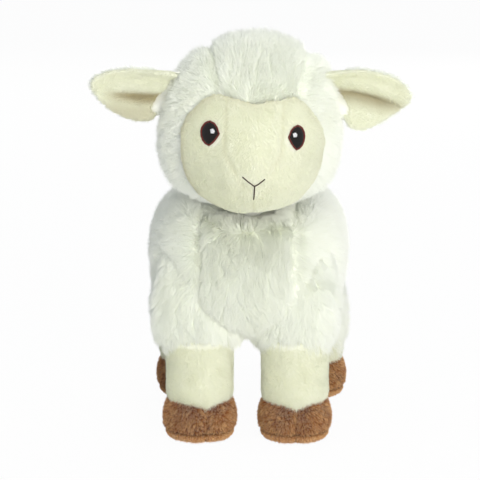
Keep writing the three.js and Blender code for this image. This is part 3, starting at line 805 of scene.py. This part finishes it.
def fold_ear(ear, side, sign):
    """Sews the pleat into an ear: a valley runs out from its root between two rolled flaps, and the
    root reaches in under the wool. Returns each vertex's way out and its painted shade, in the
    valley and on the lower flap."""
    seam, draw, tip_in, tip_down, start, rise, end, turn, dark, painted_low_flap_shade = EARS[side]
    place = (points_of(ear.data) - HEAD_PIVOT) @ TURN / MM
    s = (sign * place[:, 0] - seam) / EAR_LENGTH
    t = (place[:, 2] - EAR_MIDDLE_Z) / EAR_HALF_HEIGHT
    out = np.clip(s, 0, 1)
    off = t - start - rise * out
    fade = np.clip((end - s) / 0.5, 0, 1)
    valley = np.exp(-(off / np.where(off > 0, 0.13, 0.3)) ** 2) * fade
    flaps = sum(high * np.exp(-((off - at) / wide) ** 2) for high, at, wide in FLAPS)
    root = np.clip(1 - s / 0.22, 0, 1) ** 2
    place[:, 0] -= sign * (tip_in * out ** 3 + (5 + 4 * np.clip(t, 0, 1)) * root)
    place[:, 1] += VALLEY_DEPTH * valley - flaps * fade + turn * np.clip(-t - 0.1, 0, 1)
    place[:, 2] -= np.where(t > 0, UPPER_DRAW, draw) * t + tip_down * out ** 3
    set_points(ear.data, place @ TURN.T * MM + HEAD_PIVOT)
    # Painted shade in the valley under the upper flap, and on the lower flap, which faces down and
    # away from the light
    crease = np.clip(dark * valley, 0, 1) * (np.abs(off) < 0.5)
    return s, np.maximum(crease, painted_low_flap_shade * np.clip(-2 * t, 0, 1))


for side, sign in (("left", -1), ("right", 1)):
    body = "ear_" + side
    for name, cloth, seed, changes in (
            (body + "_lining", "velour", 51, {}),
            (body + "_back", "wool", 53, {"Length": 3, "Lean": 1.2, "Width": 0.42})):
        ear = joined_form(name + "_skin", [name], voxel_mm=1.1, rounds=5)
        along, crease = fold_ear(ear, side, sign)
        normals = normals_of(ear.data)
        if cloth == "velour":
            # The lining keeps its painted shade of valley and lower flap
            store(ear.data, "crease", crease)
            cover = (normals[:, 1] < 0.3).astype(float)
        else:
            cover = np.clip(normals[:, 1] * 1.5 + 0.3, 0, 1) * (along > 0.1)
        finish_skin(ear, cloth, body, [name])
        grow(name + "_pile", ear, cover, tangent((sign, 0, -0.2), normals), np.ones(len(normals)),
             cloth, body, [name], seed + (sign > 0), **changes)

tail = joined_form("tail_skin", ["tail"], voxel_mm=1.6, rounds=5)
push_out(tail.data, -1.8 * MM)
normals = normals_of(tail.data)
finish_skin(tail, "wool", "tail", ["tail"])
grow("tail_wool", tail, np.ones(len(normals)), tangent((0, 0.1, -1), normals),
     np.ones(len(normals)), "wool", "tail", ["tail"], seed=57, Length=6.5)

neck = joined_form("neck_skin", ["neck_stuffing"], voxel_mm=1.5, rounds=3)
finish_skin(neck, "fibre", "neck", ["neck_stuffing"])


# Legs

# The middle of each foot (x, y), how far its cleft is turned, and the height of its shin's top
FEET = {"front_left": (-30.5, -45.3), "front_right": (25.5, -45.3),
        "back_left": (-40.5, 58.7), "back_right": (35.5, 58.7)}
CLEFT_TURNED = {"front_left": 14, "front_right": 3, "back_left": 0, "back_right": 0}
SHIN_TOP = {"front_left": 62, "front_right": 62, "back_left": 38, "back_right": 38}
SHANK_RADIUS = 19.7
SOLE_HEIGHT = 6
# Points round a leg, and the half width of the cleft's line, which is bare of pile low on the hoof
# and painted with shade, in radians
AROUND = 96
CLEFT_HALF_WIDTH = 0.03


def wrapped(angle):
    """An angle brought to between minus pi and pi"""
    return (angle + math.pi) % (2 * math.pi) - math.pi


def shank_piece(name, leg, low, high, radius, rows):
    """A closed stuffed length of a leg. low, high and radius are functions of the angle from the
    cleft, and radius also of the height, in millimetres."""
    shape = bmesh.new()
    foot_x, foot_y = FEET[leg]
    rings = []
    for row in range(rows + 1):
        ring = []
        for step in range(AROUND):
            off = wrapped(2 * math.pi * step / AROUND)
            angle = off + math.radians(CLEFT_TURNED[leg])
            z = low(off) + row / rows * (high(off) - low(off))
            r = radius(off, z)
            ring.append(shape.verts.new(((foot_x + r * math.sin(angle)) * MM,
                                         (foot_y - r * math.cos(angle)) * MM, z * MM)))
        rings.append(ring)
    steps = [(i, (i + 1) % AROUND) for i in range(AROUND)]
    for below, above in zip(rings, rings[1:]):
        for i, j in steps:
            shape.faces.new((below[i], below[j], above[j], above[i]))
    for ring, upward in ((rings[0], False), (rings[-1], True)):
        middle = sum((v.co for v in ring), Vector()) / AROUND
        inner = [shape.verts.new(v.co.lerp(middle, 0.45)) for v in ring]
        hub = shape.verts.new(middle)
        for i, j in steps:
            for corners in ((ring[i], ring[j], inner[j], inner[i]), (inner[i], inner[j], hub)):
                shape.faces.new(corners if upward else corners[::-1])
    bmesh.ops.recalc_face_normals(shape, faces=shape.faces)
    return as_object(name, shape)


def toe(off, z):
    """The cleft between the two toes and the toes' own roundness"""
    cleft = 2.6 * math.exp(-abs(off) / 0.08)
    rounded = 1.0 * math.exp(-((abs(off) - 0.42) / 0.3) ** 2)
    return (rounded - cleft) * min(1, (27 - z) / 8)


def sole_seam(z):
    """How deep the seam between hoof and sole draws them in"""
    return 1.1 * math.exp(-((z - SOLE_HEIGHT) / 0.9) ** 2)


def hoof_radius(off, z):
    """A hoof swells at its middle and rounds in at its top"""
    swell = 0.9 * math.exp(-((z - 13) / 6) ** 2)
    shoulder = 1.9 * max(0, (z - 16) / 8) ** 2
    return SHANK_RADIUS + swell + toe(off, z) - sole_seam(z) - shoulder


def sole_radius(off, z):
    """A sole is tucked in at the ground"""
    tuck = 4.4 * (1 - min(1, z / SOLE_HEIGHT)) ** 2
    return SHANK_RADIUS + 0.5 + 0.75 * toe(off, z) - sole_seam(z) - tuck


def hoof_top(off):
    """The height of the hoof's top seam, which dips at the cleft"""
    return 24.6 - 2.8 * math.exp(-(off / 0.4) ** 2)


def shin_radius(off, z):
    """A shin has a slight waist, and is gathered into the hoof"""
    waist = 0.5 * math.sin(math.pi * min(1, max(0, (z - 22) / 32)))
    tucked = 1.1 * math.exp(-(max(0, z - hoof_top(off)) / 2.5) ** 2)
    puckers = 0.18 * math.sin(9 * off + 0.4) * math.exp(-((z - 24) / 6) ** 2)
    return SHANK_RADIUS - waist - tucked + puckers


for index, leg in enumerate(LEGS):
    shin_top = SHIN_TOP[leg]
    foot_x, foot_y = FEET[leg]
    # Each part: its lower and upper edge, its radius, its rows and its cloth
    parts = (
        ("hoof", lambda off: SOLE_HEIGHT - 0.4, hoof_top, hoof_radius, 14, "hoof", {}),
        ("sole", lambda off: 0.35, lambda off: SOLE_HEIGHT + 0.2, sole_radius, 8, "sole",
         {"Length": 1.3}),
        ("shin", lambda off: hoof_top(off) - 1.5, lambda off: shin_top, shin_radius, 16, "velour",
         {}),
    )
    for part, low, high, radius, rows, cloth, changes in parts:
        node = f"{leg}_{part}"
        skin = shank_piece(node + "_skin", leg, low, high, radius, rows)
        relax(skin.data, rounds=1, amount=0.3)
        subdivide(skin)
        points, normals = points_of(skin.data), normals_of(skin.data)
        z = points[:, 2] / MM
        angle = np.arctan2(points[:, 0] / MM - foot_x, foot_y - points[:, 1] / MM)
        in_cleft = np.abs(wrapped(angle - math.radians(CLEFT_TURNED[leg]))) < CLEFT_HALF_WIDTH
        cover = np.abs(normals[:, 2]) < 0.9
        reach = np.ones(len(points))
        crease = np.zeros(len(points))
        if part == "shin":
            cover &= z < shin_top - 4
            reach += 1.3 * np.exp(-np.maximum(z - 23, 0) / 2.5)
        else:
            by_sole = z - SOLE_HEIGHT
            # Painted shade in the cleft and in the seam between hoof and sole
            crease = np.maximum(0.6 * in_cleft, 0.8 * np.exp(-(by_sole / 0.8) ** 2))
            cover &= ~(in_cleft & (z < 19)) & (z > 1.2) & (np.abs(by_sole) > 0.4)
            reach -= 0.65 * np.exp(-(by_sole / 1.5) ** 2)
        store(skin.data, "crease", crease)
        finish_skin(skin, cloth, "body", [node])
        brushed = drift(points, size_mm=9, seed=7 + index) * 0.9
        grow(node + "_pile", skin, cover.astype(float), tangent((0, 0, -1) + brushed, normals),
             reach, cloth, "body", [node], 61 + 4 * index + rows, **changes)


# Eyes and mouth

def thread_tree():
    """Geometry nodes that turn lines into threads of a given radius"""
    tree, given = new_tree("threads", ("Lines", "Radius", "Sides", "Thread"), "Threads")
    curves = add(tree, "GeometryNodeMeshToCurve", {"Mesh": given["Lines"]})
    section = add(tree, "GeometryNodeCurvePrimitiveCircle",
                  {"Resolution": given["Sides"], "Radius": given["Radius"]})
    tubes = add(tree, "GeometryNodeCurveToMesh",
                {"Curve": curves, "Profile Curve": section, "Fill Caps": True})
    solid = add(tree, "GeometryNodeRealizeInstances", {"Geometry": tubes})
    done = add(tree, "GeometryNodeSetMaterial", {"Geometry": solid, "Material": given["Thread"]})
    add(tree, "NodeGroupOutput", {"Threads": done})
    return tree


THREADS = thread_tree()


def stitch(name, lines, radius_mm, sides, material, nodes):
    """Threads laid along lines of points on the head"""
    points = [point for line in lines for point in line]
    edges, start = [], 0
    for line in lines:
        edges += [(start + i, start + i + 1) for i in range(len(line) - 1)]
        start += len(line)
    mesh = bpy.data.meshes.new(name + "_lines")
    mesh.from_pydata(points, edges, [])
    piece = made_by(THREADS, name, mesh, {"Radius": radius_mm * MM, "Sides": sides,
                                          "Thread": material})
    piece.data.shade_smooth()
    stand_in(piece, "head", nodes)


face_shape = bmesh.new()
face_shape.from_mesh(face.data)
face_surface = search_tree(face_shape)


def on_the_face(x, z, lift):
    """The point of the face straight behind (x, z) in its own plane, lifted off the cloth"""
    start = Vector(HEAD_PIVOT + TURN @ (ROLL @ np.array((x, 0, z)) + np.array((0, -100, 0))) * MM)
    at, normal, _, _ = face_surface.ray_cast(start, Vector(TURN @ np.array((0, 1, 0))))
    return at + normal * lift * MM


# An eye's outline in shares of its half width and half height, and its glint's in millimetres
EYE_HALF_WIDTH = {"left": 5.4, "right": 4.9}
EYE_HALF_HEIGHT = 6.9
EYE_OUTLINE = [
    (-0.07, 1), (0.39, 0.87), (0.72, 0.59), (0.89, 0.24), (1, 0.07), (0.83, -0.18), (0.62, -0.46),
    (0.32, -0.74), (-0.06, -1), (-0.43, -0.89), (-0.75, -0.64), (-0.94, -0.29), (-1, 0.09),
    (-0.92, 0.39), (-0.66, 0.75), (-0.36, 0.92),
]
GLINT_OUTLINE = [(-1.3, 0.9), (0.3, 1.5), (1.5, 0.2), (0.9, -1.2), (-0.8, -1.0)]
GLINT_SIZE = 0.9
GLINT_IN, GLINT_UP = 0.27, 0.19
PUPIL_SHARE = 0.88
RIM_WIDTH, RIM_STEP = 1.0, 0.36
ROW_STEP, SHORTEST_ROW = 0.42, 0.4


def span_at(outline, z):
    """Where a level line crosses a closed outline"""
    hits = []
    for (x0, z0), (x1, z1) in zip(outline, outline[1:] + outline[:1]):
        if (z0 - z) * (z1 - z) < 0:
            hits.append(x0 + (x1 - x0) * (z - z0) / (z1 - z0))
    return (min(hits), max(hits)) if len(hits) > 1 else None


def satin(outline, lift, crown, step=ROW_STEP):
    """Level rows of satin stitch that fill an outline and rise to a crown"""
    low, high = min(z for _, z in outline), max(z for _, z in outline)
    rows = int((high - low) / step)
    lines = []
    for row in range(rows + 1):
        z = low + (high - low) * (row + 0.5) / (rows + 1)
        span = span_at(outline, z)
        if not span or span[1] - span[0] < SHORTEST_ROW:
            continue
        rise = crown * math.sqrt(1 - (2 * (z - low) / (high - low) - 1) ** 2)
        lines.append([on_the_face(span[0] + (span[1] - span[0]) * i / 8, z,
                                  lift + rise * math.sin(math.pi * i / 8) ** 0.7)
                      for i in range(9)])
    return lines


for side, sign in (("left", -1), ("right", 1)):
    width = EYE_HALF_WIDTH[side]
    eye = [(sign * (EYE_OUT - x * width), EYE_UP + z * EYE_HALF_HEIGHT) for x, z in EYE_OUTLINE]
    centre = np.mean(eye, axis=0)
    pupil = [tuple(centre + (np.array(p) - centre) * PUPIL_SHARE) for p in eye]
    # Two layers, the lower one as a pad, so that no cloth shows between the threads
    rows = satin(pupil, 0.05, 0.3) + satin(pupil, 0.3, 0.6, 0.5)
    stitch(f"eye_{side}_pupil_stitches", rows, 0.36, 6, black_thread, [f"eye_{side}_pupil"])
    rim = []
    for (x0, z0), (x1, z1) in zip(eye, eye[1:] + eye[:1]):
        steps = max(1, int(math.hypot(x1 - x0, z1 - z0) / RIM_STEP))
        for i in range(steps):
            x, z = x0 + (x1 - x0) * i / steps, z0 + (z1 - z0) * i / steps
            way = np.array((x, z)) - centre
            way = way / np.linalg.norm(way) * RIM_WIDTH
            rim.append([on_the_face(x - way[0] * s, z - way[1] * s,
                                    0.2 + 0.5 * math.sin(math.pi * (0.2 + 0.8 * s)))
                        for s in (0, 0.33, 0.66, 1)])
    stitch(f"eye_{side}_rim_stitches", rim, 0.27, 5, brown_thread, [f"eye_{side}_rim"])
    gx, gz = sign * (EYE_OUT - GLINT_IN * width), EYE_UP + GLINT_UP * EYE_HALF_HEIGHT
    spot = [(gx + GLINT_SIZE * x, gz + GLINT_SIZE * z) for x, z in GLINT_OUTLINE]
    stitch(f"eye_{side}_glint_stitches", satin(spot, 1.1, 0.3), 0.26, 6, white_thread,
           [f"eye_{side}_glint"])

strokes = [[on_the_face(MOUTH_X + end_x * s, MOUTH_Z + end_z * s ** 1.15, 0.8)
            for s in np.linspace(0, 1, 9)] for end_x, end_z in MOUTH_STROKES]
stitch("mouth_stitches", strokes, 0.37, 6, mouth_thread, ["nose_mouth_stitch"])


# Floor, light and camera

def stage_material(name, colour, seen_share):
    """A diffuse ground that the camera sees mostly as plain white"""
    material, tree, shader = new_material(name)
    settle(shader, base_color=linear(colour), roughness=0.9)
    glow = add(tree, "ShaderNodeEmission", {"Color": WHITE, "Strength": 1.0})
    ray = add(tree, "ShaderNodeLightPath").outputs
    seen = add(tree, MATH, {0: ray["Is Camera Ray"], 1: seen_share}, operation="MULTIPLY")
    mixed = add(tree, "ShaderNodeMixShader", {0: seen, 1: shader, 2: glow})
    tree.links.new(mixed.outputs[0], tree.nodes["Material Output"].inputs["Surface"])
    return material


# Half the floor's width, in metres
FLOOR = 4
floor_mesh = bpy.data.meshes.new("floor")
floor_mesh.from_pydata([(x * FLOOR, y * FLOOR, 0) for x, y in ((-1, -1), (1, -1), (1, 1), (-1, 1))],
                       [], [(0, 1, 2, 3)])
floor_mesh.materials.append(stage_material("white_sweep", 0xF8F8F8, 0.96))
floor = new_object("floor", floor_mesh)

# The toy is lit by a soft sky, and what the camera sees of it is white
world = bpy.data.worlds.new("studio")
scene.world = world
world.use_nodes = True
sky = world.node_tree
sky.nodes.clear()
ray = add(sky, "ShaderNodeLightPath").outputs
seen = add(sky, MATH, {0: ray["Is Camera Ray"], 1: ray["Is Glossy Ray"]}, operation="MAXIMUM")
seen = add(sky, MATH, {0: seen, 1: ray["Is Transmission Ray"]}, operation="MAXIMUM")
soft = add(sky, "ShaderNodeBackground", {"Color": linear(0xECF1FF), "Strength": 0.43})
white = add(sky, "ShaderNodeBackground", {"Color": WHITE, "Strength": 1.0})
both = add(sky, "ShaderNodeMixShader", {0: seen, 1: soft, 2: white})
add(sky, "ShaderNodeOutputWorld", {"Surface": both})


def lamp(name, place, aim_z, size, power, colour):
    """A round softbox that faces the toy's middle at a height, in metres and watts"""
    light = bpy.data.lights.new(name, "AREA")
    light.shape = "DISK"
    light.size = size
    light.energy = power
    light.color = linear(colour)[:3]
    holder = new_object(name, light)
    holder.location = place
    way = Vector((0, 0, aim_z)) - Vector(place)
    holder.rotation_euler = way.to_track_quat("-Z", "Y").to_euler()


lamp("key_softbox", (0.64, -1.55, 0.8), 0.12, size=1.1, power=4.5, colour=0xFFFDF4)
lamp("overhead_softbox", (0, -0.6, 1.6), 0.2, size=1.2, power=7, colour=0xFCFFF6)
lamp("low_fill", (0.42, -1.7, 0.32), 0.1, size=0.64, power=13.2, colour=0xFFFCF4)
lamp("rear_softbox", (0.2, 1.7, 0.75), 0.12, size=1.1, power=8, colour=0xFFFDF4)
scene.cycles.diffuse_bounces = 12

# The camera's place round its aim, and what a pixel of the photograph measures there
CAMERA_AZIMUTH, CAMERA_ELEVATION = math.radians(1.6), math.radians(11)
CAMERA_DISTANCE = 1.45
AIM = Vector((-8.0 * MM, 0, 109.6 * MM))
PHOTO_PIXELS, PIXEL_MM, FILM_MM = 480, 0.602, 36
level = math.cos(CAMERA_ELEVATION)
back = Vector((math.sin(CAMERA_AZIMUTH) * level, -math.cos(CAMERA_AZIMUTH) * level,
               math.sin(CAMERA_ELEVATION)))
camera_data = bpy.data.cameras.new("camera")
camera_data.sensor_width = FILM_MM
camera_data.lens = FILM_MM * CAMERA_DISTANCE / (PHOTO_PIXELS * PIXEL_MM * MM)
camera = new_object("camera", camera_data)
camera.location = AIM + back * CAMERA_DISTANCE
camera.rotation_euler = (-back).to_track_quat("-Z", "Y").to_euler()
scene.camera = camera
scene.view_settings.view_transform = "Standard"
